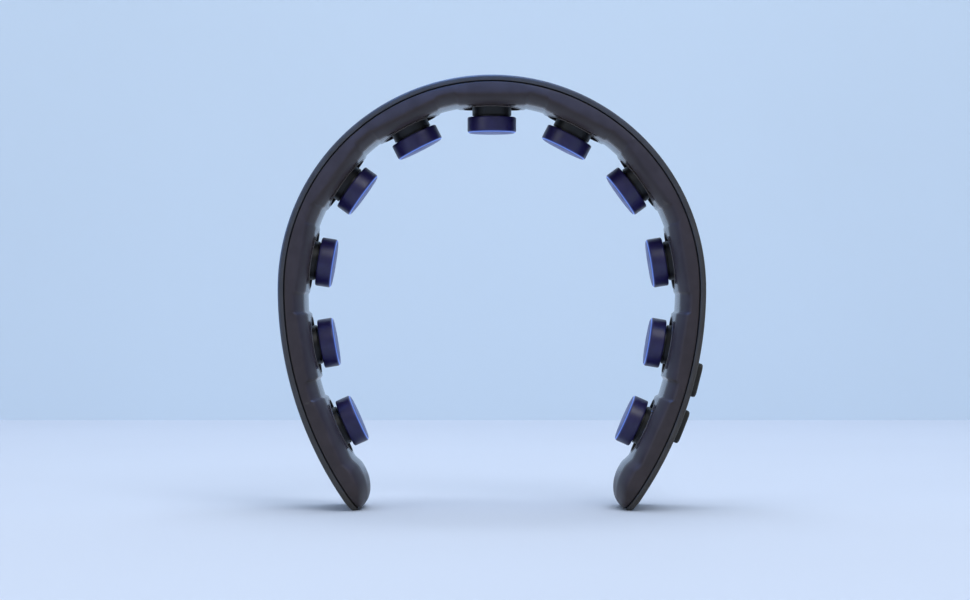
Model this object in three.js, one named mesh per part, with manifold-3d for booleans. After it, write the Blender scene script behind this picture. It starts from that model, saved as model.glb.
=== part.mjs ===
// Neck massager: a C-shaped band worn round the neck. Eleven sprung massage heads stand out of its neck
// face, a thin cover fits over its outer side, and two push keys sit on the right arm.
//
// Millimetres, +Z up. The band stands on the ends of its two arms, its width lies along Y, and the origin
// is on the ground, midway between the arms. Places on the band are given by two measures:
//   reach  distance along the neck face from the middle of the back, positive towards the right arm
//   depth  distance inwards from the outline, which is the outer edge of the band's side

import * as THREE from "three";
import { mergeVertices } from "three/addons/utils/BufferGeometryUtils.js";
import Module from "manifold-3d";

const wasm = await Module();
wasm.setup();

// ---- Driving dimensions ----

// Outline and section of the band
const backRadius = 79; // outline round the back of the neck, a half circle
const armRadius = 138; // outline of each arm, which carries on from the half circle
const bandWidth = 38;
const faceDepth = 11.4; // flats that the heads stand on
const valleyDepth = 9.8; // dips between the flats
const tipDepth = 11.9; // arm ends
const flatLength = 23.4; // each flat, along the band
const valleyRamp = 1.3; // length of the step from a flat to its dip
const faceCrown = 0.7; // how far the neck face falls from mid-width to its crease
const shoulderWidth = 6.8; // from the crease to the side, across the band
const shoulderSlope = 2.2; // fall over the shoulder at its starting slope
const shoulderRound = 1.9; // further fall, as the shoulder curves over into the side
const sideBulge = 0.35; // how far the side leans out from its rim
const crown = 1.0; // how far the cover bulges at mid-width
const coverSide = 1.9; // visible height of the cover's side
const seamGap = 0.5; // shadow line between cover and housing
const wall = 1.6;
const coverWall = 1.4;

// Arm ends
const tipLength = 29.2; // from the last head to the end of the band
const tipRamp = 4.5; // from the last flat to the full depth of the arm's end
const noseLength = 12; // stretch over which an end rounds off, seen from the front
const noseCorner = 9; // corner radius of an end, seen from the side
const noseEdge = 3; // depth of the housing at its very end
const coverNose = 5; // stretch over which the cover's end rounds off
const coverNoseDepth = 1.5; // depth of the cover's top at its very end
const footCut = 0.4; // height taken off each end to give a flat foot

// Massage heads
const headsPerSide = 5; // besides the one at the middle of the back
const headPitch = 31.8; // along the neck face
const capRadius = 9.15;
const capHeight = 6.2;
const capWall = 1.6;
const backNeck = 3.0; // neck showing between the flat and the cap, at the middle of the back
const armNeck = 1.7; // the same on the arms
const stemRadius = 7.35;
const stemFit = 0.2; // cap on stem
const guideFit = 0.25; // stem in the housing's floor
const wellRadius = 10.6;
const wellDrop = 1.6; // well floor below the flat
const wellFloor = 1.2; // thickness of the housing under the well
const flangeRadius = 8.5;
const flangeHeight = 0.8;
const flangeGap = 0.2;
const stemBore = 5.6;
const stemWeb = 0.8; // disc between the spring chamber and the motor pocket
const motorRadius = 5.0;
const motorHeight = 2.8;
const motorFit = 0.2;
const springRadius = 4.3;
const springWire = 0.8;
const springTurns = 3;
const springGap = 0.2;

// Inner parts
const chassisTop = 3.9; // depth of the chassis strip's outer side
const chassisThick = 0.5;
const chassisWidth = 22;
const chassisPastHead = 9.5; // beyond the last heads
const screwHeadRadius = 2.1;
const screwHeadHeight = 1.1;
const screwRadius = 1.0;
const screwLength = 3.4;
const screwPostRadius = 2.8;
const screwFit = 0.2;
const screwPostGap = 0.3; // between a screw post and the chassis
const partGap = 0.15; // between neighbours in the stack
const boardThick = 0.6;
const boardTop = 3.05; // depth of the key board's outer side
const boardWidth = 24;
const batteryTop = 1.2;
const batteryThick = 2.4;
const batteryWidth = 28;
const batteryLength = 53; // along the left arm
const batteryFromEnd = 23.2; // from the battery to the end of the band
const ribbonTop = 0.9;
const ribbonThick = 0.25;
const ribbonWidth = 7;

// Keys, on the right arm
const keyLength = 12.9; // along the band
const keyWidth = 18;
const keyProud = 1.8; // above the cover
const keyCorner = 2.2;
const keyBevel = 0.6;
const keyFit = 0.25;
const keysFromEnd = 50.8; // from the middle of the first key to the end of the band
const keyPitch = 16.6;
const keyFlangeTop = 0.9;
const keyFlangeThick = 0.5;
const keyFlangeLip = 0.85;
const keyNubRadius = 1.5;
const keyNubEnd = 1.85;
const switchSize = 4.5;
const switchBodyTop = 2.4;
const switchPlungerTop = 2.3;
const switchPlungerRadius = 1.1;
const lightRadius = 0.9; // status light, between the keys and the end of the arm
const lightPastKey = 12;
const lightFit = 0.15;
const lightEnd = 2.6;

// Charging socket, in the back side of the right arm's end
const socketPastHead = 16;
const socketLength = 9.0;
const socketHeight = 3.2;
const socketReachIn = 7.2; // from the side face inwards
const socketDepth = 5.0; // depth of its middle
const socketWall = 0.35;
const socketFit = 0.15;
const socketInset = 0.3;
const mainBoardLength = 9;
const mainBoardWidth = 20;
const mainBoardThick = 0.8;

// ---- Materials ----

const finish = (color, roughness, metalness = 0) =>
  new THREE.MeshStandardMaterial({ color, roughness, metalness });
const housingPlastic = finish(0x37353c, 0.45);
const coverPlastic = finish(0x2b2b29, 0.55);
const sealRubber = finish(0x08080a, 0.85);
const capSilicone = finish(0x231f45, 0.4);
const stemPlastic = finish(0x17171a, 0.35);
const springSteel = finish(0xb9bcc0, 0.3, 1);
const motorSteel = finish(0x9a9da3, 0.35, 1);
const keyRubber = finish(0x2a2a27, 0.6);
const boardGreen = finish(0x14532d, 0.6);
const cellFoil = finish(0xc9ccd1, 0.4, 0.8);
const ribbonFilm = finish(0xb87418, 0.5);
const lightClear = finish(0xdfe8f5, 0.2);

// ---- Where things are on the band ----

const backFaceRadius = backRadius - faceDepth;
const armFaceRadius = armRadius - faceDepth;
const armStart = (backFaceRadius * Math.PI) / 2; // reach where an arm begins
const lastHead = headsPerSide * headPitch;
const bandEnd = lastHead + tipLength;
const batteryTo = bandEnd - batteryFromEnd;
const batteryFrom = batteryTo - batteryLength;
const headReaches = Array.from({ length: 2 * headsPerSide + 1 }, (_, i) => (i - headsPerSide) * headPitch);

// The outline's point and outward direction at a reach, with the turn from straight up.
function bandAt(reach) {
  const side = reach < 0 ? -1 : 1;
  const along = Math.abs(reach);
  const onArm = along > armStart;
  const angle = onArm ? Math.PI / 2 + (along - armStart) / armFaceRadius : along / backFaceRadius;
  const radius = onArm ? armRadius : backRadius;
  const centre = onArm ? backRadius - armRadius : 0;
  return {
    angle: side * angle,
    outward: new THREE.Vector3(side * Math.sin(angle), 0, Math.cos(angle)),
    edge: new THREE.Vector3(side * (centre + radius * Math.sin(angle)), 0, radius * Math.cos(angle)),
  };
}

// The point at a reach, a place across the width and a depth.
function pointAt(reach, across, depth) {
  const { edge, outward } = bandAt(reach);
  return edge.addScaledVector(outward, -depth).setY(across);
}

// Depth of a plane square to a head's axis, where it crosses the band at a reach.
function planeDepth(reach, headReach, depthAtHead) {
  const here = bandAt(reach);
  const head = bandAt(headReach);
  return (here.edge.sub(head.edge).dot(head.outward) + depthAtHead) / here.outward.dot(head.outward);
}

const nearestHead = (reach) =>
  headReaches.reduce((best, h) => (Math.abs(reach - h) < Math.abs(reach - best) ? h : best));

// A quarter-ellipse from 0 at a band end to 1 at a stated length from it.
function roundOff(reach, length) {
  const fromEnd = Math.min(Math.max(bandEnd - Math.abs(reach), 0), length);
  return Math.sqrt(1 - (1 - fromEnd / length) ** 2);
}

const halfWidthAt = (reach) => bandWidth / 2 - noseCorner * (1 - roundOff(reach, noseCorner));

// A depth on the neck side: flat at each head, level in the dips, and rounded off at the ends.
function neckSideDepth(reach, flat, dip, tip) {
  const head = nearestHead(reach);
  const pastFlat = Math.abs(reach - head) - flatLength / 2;
  if (pastFlat <= 1e-6) return planeDepth(reach, head, flat);
  if (Math.abs(reach) < lastHead) return dip;
  const end = noseEdge + (tip - noseEdge) * roundOff(reach, noseLength);
  return THREE.MathUtils.lerp(planeDepth(reach, head, flat), end, Math.min(pastFlat / tipRamp, 1));
}

const floorDepth = faceDepth - wellDrop - wellFloor; // the housing's inner floor at a head
const rimDepth = coverSide + seamGap; // the housing's edge under the cover
const shoulderHeight = faceCrown + shoulderSlope + shoulderRound;

// Depth of the cover's top across the width.
function coverTop(reach, across) {
  const bulge = -crown * (1 - (across / (bandWidth / 2)) ** 2);
  return THREE.MathUtils.lerp(coverNoseDepth, bulge, roundOff(reach, coverNose));
}

// ---- Sections: half outlines as [across, depth], from the open edge to mid-width ----

// Fall of the neck face at a distance in from the side: a slight crown, a crease, then a rounded shoulder.
function faceFall(inFromSide, half) {
  const crease = half - shoulderWidth;
  const share = 1 - inFromSide / shoulderWidth;
  if (share <= 0) return faceCrown * Math.max((half - inFromSide) / crease, 0) ** 2;
  return faceCrown + shoulderSlope * share + shoulderRound * (1 - Math.sqrt(1 - share ** 2));
}

function housingHalf(reach) {
  const half = halfWidthAt(reach);
  const face = neckSideDepth(reach, faceDepth, valleyDepth, tipDepth);
  const scale = Math.min(1, ((face - rimDepth) * 0.75) / shoulderHeight);
  const skin = [0, 0.08, 0.35, 1].map((share) => share * shoulderWidth);
  skin.push(shoulderWidth + (half - shoulderWidth) / 2, half);
  const outside = skin.map((inwards) => [half - inwards, face - faceFall(inwards, half) * scale]);
  return [[half - sideBulge, rimDepth], ...outside];
}

function housingHollowHalf(reach) {
  const half = halfWidthAt(reach) - wall;
  const face = neckSideDepth(reach, floorDepth, valleyDepth - wall, tipDepth - wall);
  const drop = Math.min(shoulderHeight * 0.85, (face - rimDepth) * 0.7);
  return [
    [half, rimDepth - 1],
    [half, face - drop],
    [half - shoulderWidth * 0.6, face - drop * 0.26],
    [half - shoulderWidth * 1.2, face],
  ];
}

function coverHalf(reach) {
  const half = halfWidthAt(reach);
  const top = [half - 0.9, half / 2, 0].map((across) => [across, coverTop(reach, across)]);
  const edge = coverTop(reach, half - 0.9);
  const sideTop = Math.min(edge + 0.75, coverSide - 0.2);
  return [[half, coverSide], [half, sideTop], [half - 0.28, edge + 0.22], ...top];
}

function coverHollowHalf(reach) {
  const half = halfWidthAt(reach) - wall;
  const top = [half, half / 2, 0].map((across) => [across, coverTop(reach, across) + coverWall]);
  return [[half, coverSide + 1], ...top];
}

const plateHalf = (inset, from, to) => (reach) => {
  const half = halfWidthAt(reach) - inset;
  return [[half, from], [half, to]];
};

const stripHalf = (width, from, thick) => () => [[width / 2, from], [width / 2, from + thick]];

// A half outline and its mirror image, as one closed outline.
function closeSection(half) {
  const mirrored = half.filter(([across]) => across > 1e-9).map(([across, depth]) => [-across, depth]);
  return [...half, ...mirrored.reverse()];
}

// ---- Solids ----

const joined = (list) => list.reduce((sum, solid) => sum.add(solid));

// A three.js geometry as a solid.
function toSolid(geometry) {
  const bare = geometry.index ? geometry.toNonIndexed() : geometry.clone();
  for (const name of Object.keys(bare.attributes)) {
    if (name !== "position") bare.deleteAttribute(name);
  }
  const merged = mergeVertices(bare, 1e-4);
  const mesh = new wasm.Mesh({
    numProp: 3,
    vertProperties: merged.attributes.position.array,
    triVerts: new Uint32Array(merged.index.array),
  });
  return new wasm.Manifold(mesh);
}

function toGeometry(solid) {
  const mesh = solid.getMesh();
  const geometry = new THREE.BufferGeometry();
  geometry.setAttribute("position", new THREE.BufferAttribute(new Float32Array(mesh.vertProperties), 3));
  geometry.setIndex(new THREE.BufferAttribute(new Uint32Array(mesh.triVerts), 1));
  geometry.computeVertexNormals();
  return geometry;
}

// A closed skin over sections that stand at a list of reaches.
function loft(reaches, halfSection) {
  const sections = reaches.map((reach) => closeSection(halfSection(reach)));
  const count = sections[0].length;
  const points = sections.flatMap((section, row) =>
    section.flatMap(([across, depth]) => pointAt(reaches[row], across, depth).toArray()),
  );
  const faces = [];
  for (let row = 0; row + 1 < reaches.length; row++) {
    for (let i = 0; i < count; i++) {
      const [a, b] = [row * count + i, row * count + ((i + 1) % count)];
      faces.push(a, b, b + count, a, b + count, a + count);
    }
  }
  const cap = (row, flip) => {
    const outline = sections[row].map(([across, depth]) => new THREE.Vector2(across, depth));
    for (const [a, b, c] of THREE.ShapeUtils.triangulateShape(outline, [])) {
      const start = row * count;
      faces.push(start + a, start + (flip ? c : b), start + (flip ? b : c));
    }
  };
  const turns = THREE.ShapeUtils.area(sections[0].map(([x, y]) => new THREE.Vector2(x, y))) > 0;
  cap(0, turns);
  cap(reaches.length - 1, !turns);
  const geometry = new THREE.BufferGeometry();
  geometry.setAttribute("position", new THREE.Float32BufferAttribute(points, 3));
  geometry.setIndex(faces);
  const solid = toSolid(geometry);
  if (solid.volume() > 0) return solid;
  for (let i = 0; i < faces.length; i += 3) [faces[i + 1], faces[i + 2]] = [faces[i + 2], faces[i + 1]];
  geometry.setIndex(faces);
  return toSolid(geometry);
}

// A turned solid about +Z from [radius, height] points.
function turned(profile, sides = 20) {
  const points = profile.map(([radius, height]) => new THREE.Vector2(radius, height));
  return toSolid(new THREE.LatheGeometry(points, sides).rotateX(Math.PI / 2).scale(1, -1, 1));
}

function rod(radius, from, to, sides = 16) {
  const cylinder = new THREE.CylinderGeometry(radius, radius, to - from, sides);
  return toSolid(cylinder.rotateX(Math.PI / 2).translate(0, 0, (from + to) / 2));
}

function block(x, y, from, to) {
  return toSolid(new THREE.BoxGeometry(x, y, to - from).translate(0, 0, (from + to) / 2));
}

// A rounded rectangle in the XY plane, pushed along +Z.
function roundedPlate(length, width, corner, from, to, bevel = 0) {
  const [x, y, r] = [length / 2 - bevel, width / 2 - bevel, corner - bevel];
  const shape = new THREE.Shape();
  shape.absarc(x - r, y - r, r, 0, Math.PI / 2);
  shape.absarc(r - x, y - r, r, Math.PI / 2, Math.PI);
  shape.absarc(r - x, r - y, r, Math.PI, 1.5 * Math.PI);
  shape.absarc(x - r, r - y, r, 1.5 * Math.PI, 2 * Math.PI);
  const geometry = new THREE.ExtrudeGeometry(shape, {
    depth: to - from - 2 * bevel,
    curveSegments: 3,
    bevelEnabled: bevel > 0,
    bevelSize: bevel,
    bevelThickness: bevel,
    bevelSegments: 2,
  });
  return toSolid(geometry.translate(0, 0, from + bevel));
}

// A group whose +Z runs inwards from the outline at a reach, so that Z in it is depth there.
function stationAt(reach) {
  const { edge, angle } = bandAt(reach);
  const group = new THREE.Group();
  group.position.copy(edge);
  group.rotation.y = angle + Math.PI;
  return group;
}

// A solid made in a station's own frame, moved to its place on the band.
function placed(solid, reach) {
  const group = stationAt(reach);
  group.updateMatrix();
  return toSolid(toGeometry(solid).applyMatrix4(group.matrix));
}

// ---- Rows of sections ----

const range = (from, to, step) => {
  const count = Math.max(1, Math.ceil((to - from) / step));
  return Array.from({ length: count + 1 }, (_, i) => from + ((to - from) * i) / count);
};

// Reaches from one end of the band to the other, closer together where the shape changes.
function bandRows(nearestToEnd) {
  const flat = flatLength / 2;
  const offsets = [-flat - valleyRamp, -flat, -flat / 3, flat / 3, flat, flat + valleyRamp];
  const bays = headReaches.flatMap((head) => offsets.map((offset) => head + offset));
  const ends = [1, 0.72, 0.48, 0.28, 0.13, 0.04, 0]
    .map((share) => share * noseLength)
    .filter((fromEnd) => fromEnd >= nearestToEnd)
    .flatMap((fromEnd) => [fromEnd - bandEnd, bandEnd - fromEnd]);
  return [...bays, ...ends].sort((a, b) => a - b);
}

// ---- The massager ----

const massager = new THREE.Group();
const body = new THREE.Group(); // everything, placed about the half circle's centre
massager.add(body);

function add(name, solid, material, parent = body) {
  const mesh = new THREE.Mesh(toGeometry(solid), material);
  mesh.name = name;
  parent.add(mesh);
  return mesh;
}

const allRows = bandRows(0);
const innerRows = bandRows(2.6);
const armEndTrim = 2; // end wall left by the hollows
const hollowRows = [armEndTrim - bandEnd, ...innerRows, bandEnd - armEndTrim];

const firstKey = bandEnd - keysFromEnd;
const keyReaches = { power_key: firstKey, mode_key: firstKey + keyPitch };
const lightReach = firstKey + keyPitch + lightPastKey;
const socketReach = lastHead + socketPastHead;
const screwReaches = { chassis_screw_left: -headPitch / 2, chassis_screw_right: headPitch / 2 };

// Cover: the thin outer shell, with openings for the keys and the status light.
function makeCover() {
  const holes = Object.values(keyReaches).map((reach) =>
    placed(roundedPlate(keyLength + 2 * keyFit, keyWidth + 2 * keyFit, keyCorner + keyFit, -6, 6), reach),
  );
  holes.push(placed(rod(lightRadius + lightFit, -6, 6), lightReach));
  return loft(allRows, coverHalf).subtract(loft(hollowRows, coverHollowHalf)).subtract(joined(holes));
}

// Housing: a tray that carries the heads, with a well and a guide hole for each.
function makeHousing() {
  const wells = headReaches.map((reach) =>
    placed(
      rod(wellRadius, faceDepth - wellDrop, faceDepth + 5, 28).add(
        rod(stemRadius + guideFit, floorDepth - 1, faceDepth, 20),
      ),
      reach,
    ),
  );
  const posts = Object.values(screwReaches).map((reach) =>
    placed(
      rod(screwPostRadius, chassisTop + chassisThick + screwPostGap, valleyDepth - wall / 2).subtract(
        rod(screwRadius + partGap, 0, chassisTop + chassisThick + screwLength),
      ),
      reach,
    ),
  );
  const socketHole = placed(
    roundedPlate(
      socketLength + 2 * socketFit,
      socketHeight + 2 * socketFit,
      socketHeight / 2,
      bandWidth / 2 - socketReachIn,
      bandWidth / 2 + 5,
    ).rotate([-90, 0, 0]).translate([0, 0, socketDepth]),
    socketReach,
  );
  return loft(allRows, housingHalf)
    .subtract(loft(hollowRows, housingHollowHalf))
    .add(joined(posts))
    .subtract(joined(wells))
    .subtract(socketHole);
}

// Seal: a soft frame in the seam between cover and housing.
function makeSeal() {
  const [from, to] = [coverSide + partGap, rimDepth - partGap];
  const sealRows = bandRows(1.5);
  const ringRows = bandRows(2.6);
  return loft(sealRows, plateHalf(0.6, from, to)).subtract(loft(ringRows, plateHalf(1.4, from - 1, to + 1)));
}

const cover = makeCover();
const bounds = cover.boundingBox();
const footLevel = bounds.min[2] + footCut;
const ground = toSolid(new THREE.BoxGeometry(400, 400, 100).translate(0, 0, footLevel - 50));
add("outer_cover", cover.subtract(ground), coverPlastic);
add("neck_side_housing", makeHousing().subtract(ground), housingPlastic);
add("seam_seal", makeSeal(), sealRubber);
body.position.z = -footLevel;

// How far the neck shows at a head: most at the middle of the back, least on the arms.
function neckLength(reach) {
  const { outward } = bandAt(reach);
  return armNeck + (backNeck - armNeck) * Math.max(outward.z, 0) ** 2;
}

// Cap: a cup that slips over the stem and touches the neck.
function makeCap(back) {
  const front = back + capHeight;
  const inner = stemRadius + stemFit;
  const profile = [
    [0, front], [capRadius - 1.6, front - 0.2], [capRadius - 0.4, front - 1], [capRadius, front - 2],
    [capRadius, back + 0.8], [capRadius - 0.8, back], [inner, back], [inner, front - capWall],
    [0, front - capWall],
  ];
  return turned(profile);
}

// Stem: a flanged tube that slides in the housing, with a spring chamber below and a motor pocket above.
function makeStem(back) {
  const flange = floorDepth - flangeGap - flangeHeight;
  const top = back + capHeight - capWall - stemFit;
  const web = top - motorHeight - motorFit;
  const pocket = motorRadius + motorFit;
  const profile = [
    [stemBore, flange], [flangeRadius, flange], [flangeRadius, flange + flangeHeight],
    [stemRadius, flange + flangeHeight], [stemRadius, top], [pocket, top], [pocket, web], [0, web],
    [0, web - stemWeb], [stemBore, web - stemWeb],
  ];
  return turned([...profile, profile[0]].reverse(), 16);
}

// Spring: a coil between the chassis and the stem's web.
function makeSpring(from, to) {
  class Coil extends THREE.Curve {
    getPoint(share, target = new THREE.Vector3()) {
      const turn = share * springTurns * 2 * Math.PI;
      const height = from + springWire / 2 + share * (to - from - springWire);
      return target.set(springRadius * Math.cos(turn), springRadius * Math.sin(turn), height);
    }
  }
  const wire = new THREE.Shape();
  wire.absarc(0, 0, springWire / 2, 0, 2 * Math.PI);
  const geometry = new THREE.ExtrudeGeometry(wire, {
    extrudePath: new Coil(),
    steps: springTurns * 8,
    curveSegments: 2,
    bevelEnabled: false,
  });
  return toSolid(geometry);
}

headReaches.forEach((reach, i) => {
  const number = String(i + 1).padStart(2, "0");
  const back = faceDepth + neckLength(reach);
  const motorTop = back + capHeight - capWall - stemFit - motorFit / 2;
  const webUnder = motorTop - motorHeight - motorFit / 2 - stemWeb;
  const station = stationAt(reach);
  body.add(station);
  add(`head_cap_${number}`, makeCap(back), capSilicone, station);
  add(`head_stem_${number}`, makeStem(back), stemPlastic, station);
  add(`head_motor_${number}`, rod(motorRadius, motorTop - motorHeight, motorTop), motorSteel, station);
  const seat = chassisTop + chassisThick + springGap;
  add(`head_spring_${number}`, makeSpring(seat, webUnder - springGap), springSteel, station);
});

// Chassis: a spring-steel strip under the heads, which also draws the arms together.
const chassisEnd = lastHead + chassisPastHead;
const chassisHoles = Object.values(screwReaches).map((reach) =>
  placed(rod(screwRadius + screwFit, 0, 8), reach),
);
add(
  "spring_steel_chassis",
  loft(range(-chassisEnd, chassisEnd, 8), stripHalf(chassisWidth, chassisTop, chassisThick)).subtract(
    joined(chassisHoles),
  ),
  springSteel,
);

for (const [name, reach] of Object.entries(screwReaches)) {
  const station = stationAt(reach);
  body.add(station);
  const under = chassisTop - partGap;
  const head = rod(screwHeadRadius, under - screwHeadHeight, under);
  const shank = rod(screwRadius, under - 0.2, under + screwLength, 12);
  add(name, head.add(shank), motorSteel, station);
}

// Keys, each over its switch.
for (const [name, reach] of Object.entries(keyReaches)) {
  const station = stationAt(reach);
  body.add(station);
  const flangeEnd = keyFlangeTop + keyFlangeThick;
  const pad = roundedPlate(keyLength, keyWidth, keyCorner, -crown - keyProud, flangeEnd, keyBevel);
  const flange = roundedPlate(
    keyLength + 2 * keyFlangeLip, keyWidth + 2 * keyFlangeLip, keyCorner, keyFlangeTop, flangeEnd,
  );
  add(name, pad.add(flange).add(rod(keyNubRadius, flangeEnd - 0.1, keyNubEnd)), keyRubber, station);
  const switchBody = block(switchSize, switchSize, switchBodyTop, boardTop - partGap / 3);
  const plunger = rod(switchPlungerRadius, switchPlungerTop, switchBodyTop + 0.1, 12);
  add(name.replace("key", "switch"), switchBody.add(plunger), motorSteel, station);
}

// Key board, which follows the arm from the first key to the status light.
const boardFrom = firstKey - keyLength / 2;
const boardTo = lightReach + 2;
add(
  "key_board",
  loft(range(boardFrom, boardTo, 9), stripHalf(boardWidth, boardTop, boardThick)),
  boardGreen,
);

const lightStation = stationAt(lightReach);
body.add(lightStation);
add("status_light_pipe", rod(lightRadius, 0.05 - crown, lightEnd), lightClear, lightStation);

// Battery: a curved pouch cell in the left arm.
add(
  "battery_cell",
  loft(range(-batteryTo, -batteryFrom, 8), stripHalf(batteryWidth, batteryTop, batteryThick)),
  cellFoil,
);

// Ribbon: the flat lead from the battery round the back to the key board.
add(
  "flex_ribbon",
  loft(range(1 - batteryFrom, boardFrom - 1, 9), stripHalf(ribbonWidth, ribbonTop, ribbonThick)),
  ribbonFilm,
);

// Charging socket and the main board under it.
const socketStation = stationAt(socketReach);
body.add(socketStation);
const shellEnd = bandWidth / 2 - socketInset;
const shellStart = bandWidth / 2 - socketReachIn + partGap;
const socketShell = roundedPlate(socketLength, socketHeight, socketHeight / 2 - 0.01, shellStart, shellEnd);
const mouth = roundedPlate(
  socketLength - 2 * socketWall, socketHeight - 2 * socketWall, socketHeight / 2 - socketWall - 0.01,
  shellStart + 1, shellEnd + 1,
);
const tongue = block(socketLength - 2.6, 0.7, shellStart + 0.5, shellEnd - 0.6);
add(
  "charging_socket",
  socketShell.subtract(mouth).add(tongue).rotate([-90, 0, 0]).translate([0, 0, socketDepth]),
  motorSteel,
  socketStation,
);
const mainBoardTop = socketDepth + socketHeight / 2 + partGap;
add(
  "main_board",
  loft(
    range(socketReach - mainBoardLength / 2, socketReach + mainBoardLength / 2, 5),
    stripHalf(mainBoardWidth, mainBoardTop, mainBoardThick),
  ),
  boardGreen,
);

export default massager;
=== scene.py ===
import math

import bpy
import numpy as np
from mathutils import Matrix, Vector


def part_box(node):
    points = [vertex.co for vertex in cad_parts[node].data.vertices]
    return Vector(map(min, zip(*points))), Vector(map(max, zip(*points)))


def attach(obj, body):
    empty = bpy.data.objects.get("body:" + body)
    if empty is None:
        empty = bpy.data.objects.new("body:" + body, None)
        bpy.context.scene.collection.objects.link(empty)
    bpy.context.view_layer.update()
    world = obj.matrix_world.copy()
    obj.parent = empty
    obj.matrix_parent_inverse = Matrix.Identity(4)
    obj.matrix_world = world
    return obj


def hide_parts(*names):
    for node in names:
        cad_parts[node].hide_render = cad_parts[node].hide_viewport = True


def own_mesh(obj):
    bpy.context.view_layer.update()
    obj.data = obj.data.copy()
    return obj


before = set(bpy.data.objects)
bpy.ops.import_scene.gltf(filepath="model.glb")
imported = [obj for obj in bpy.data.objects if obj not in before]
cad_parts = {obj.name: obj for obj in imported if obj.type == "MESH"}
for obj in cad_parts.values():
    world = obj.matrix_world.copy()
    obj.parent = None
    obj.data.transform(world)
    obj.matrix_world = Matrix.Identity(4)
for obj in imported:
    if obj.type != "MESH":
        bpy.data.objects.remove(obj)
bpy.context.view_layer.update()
print("frame loaded:", len(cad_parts), "nodes")

# The band, as its maker gives it. Reach runs along the neck face from the middle of the back, depth runs
# inwards from the outline.
band = {
    "backRadius": 79.0,
    "armRadius": 138.0,
    "halfWidth": 19.0,
    "end": 188.2,
    "corner": 9.0,  # corner radius of an arm's end, seen from the side
    "headPitch": 31.8,
    "headsPerSide": 5,
    "flatDepth": 11.4,
    "dipDepth": 9.8,
    "tipDepth": 11.9,
    "flatLength": 23.4,
    "dipRamp": 1.3,
    "tipRamp": 4.5,
    "noseLength": 12.0,
    "noseEdge": 3.0,
    "rim": 2.4,
    "wall": 1.6,
    "faceCrown": 0.7,
    "shoulderWidth": 6.8,  # from the crease in the neck face out to the side
    "shoulderSlope": 2.2,
    "shoulderRound": 1.9,
}
head = {
    "capRadius": 9.15,
    "capHeight": 6.2,
    "capWall": 1.6,
    "capBore": 7.5,
    "frontRound": 1.1,
    "backRound": 0.5,
    "neckOnArm": 1.7,  # how far a stem shows behind its cap on the arms
    "neckOnBack": 1.3,  # and how much more at the middle of the back
    "stemRadius": 7.35,
    "travel": 2.5,
}
backFace = band["backRadius"] - band["flatDepth"]
armFace = band["armRadius"] - band["flatDepth"]
armStart = backFace * math.pi / 2
perSide = band["headsPerSide"]
lastHead = perSide * band["headPitch"]
headReaches = [i * band["headPitch"] for i in range(-perSide, perSide + 1)]


def capBack(reach):
    # Depth of a cap's open side: the flat, then the neck, which is longest at the middle of the back and
    # shrinks with the squared cosine of the angle from there.
    swell = max(math.cos(reach / backFace) if abs(reach) < armStart else 0.0, 0.0) ** 2
    return band["flatDepth"] + (head["neckOnArm"] + head["neckOnBack"] * swell)


# Height of the half circle's centre, from the lowest point of the topmost cap.
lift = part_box("head_cap_06")[0][2] * 1000 + (capBack(0) + head["capHeight"]) - band["backRadius"]


def bandFrame(reach):
    # Outline point and outward direction: a half circle, then an arm's arc of larger radius from its end.
    along, side = np.abs(reach), np.where(np.asarray(reach) < 0, -1.0, 1.0)
    onArm = along > armStart
    angle = np.where(onArm, math.pi / 2 + (along - armStart) / armFace, along / backFace)
    radius = np.where(onArm, band["armRadius"], band["backRadius"])
    centre = np.where(onArm, band["backRadius"] - band["armRadius"], 0.0)
    edge = np.stack([side * (centre + radius * np.sin(angle)), 0 * angle, radius * np.cos(angle) + lift], -1)
    outward = np.stack([side * np.sin(angle), 0 * angle, np.cos(angle)], -1)
    return edge, outward


def floats(*values):
    return np.broadcast_arrays(*[np.asarray(v, float) for v in values])


def bandPoint(reach, across, depth):
    # A point by its reach along the band, its place across it and its depth inwards from the outline.
    reach, across, depth = floats(reach, across, depth)
    edge, outward = bandFrame(reach)
    point = edge - outward * depth[..., None]
    point[..., 1] = across
    return point


def stationPoint(reach, along, across, depth):
    # A point in the flat frame of a station: along the band, across it, and inwards from the outline.
    edge, outward = bandFrame(float(reach))
    tangent = np.array([outward[2], 0.0, -outward[0]])
    along, across, depth = floats(along, across, depth)
    point = edge + along[..., None] * tangent - depth[..., None] * outward
    point[..., 1] = across
    return point


def planeDepth(reach, station, depthThere):
    # Depth at which a plane square to a head's axis crosses the band: the distance to the plane, over the
    # cosine between the two directions.
    edge, outward = bandFrame(reach)
    axisEdge, axis = bandFrame(station)
    return (((edge - axisEdge) * axis).sum(-1) + depthThere) / (outward * axis).sum(-1)


def smooth(share):
    # Eases from 0 to 1: three times the square less twice the cube.
    share = np.clip(share, 0, 1)
    return share * share * (3 - 2 * share)


def roundOff(reach, length):
    # A quarter ellipse: 0 at the band's end, 1 at a given length from it.
    share = np.clip((band["end"] - np.abs(reach)) / length, 0, 1)
    return np.sqrt(1 - (1 - share) ** 2)


def faceDepth(reach, flat, dip, tip):
    # Flat at each head, level in the dips, a swell and a rounded nose at each arm's end.
    station = np.clip(np.round(reach / band["headPitch"]), -perSide, perSide) * band["headPitch"]
    past = np.abs(reach - station) - band["flatLength"] / 2
    plane = planeDepth(reach, station, flat)
    nose = band["noseEdge"] + (tip - band["noseEdge"]) * roundOff(reach, band["noseLength"])
    inDip = plane + (dip - plane) * smooth(past / band["dipRamp"])
    inTip = plane + (nose - plane) * smooth(past / band["tipRamp"])
    return np.where(np.abs(reach) > lastHead, inTip, inDip)


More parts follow.
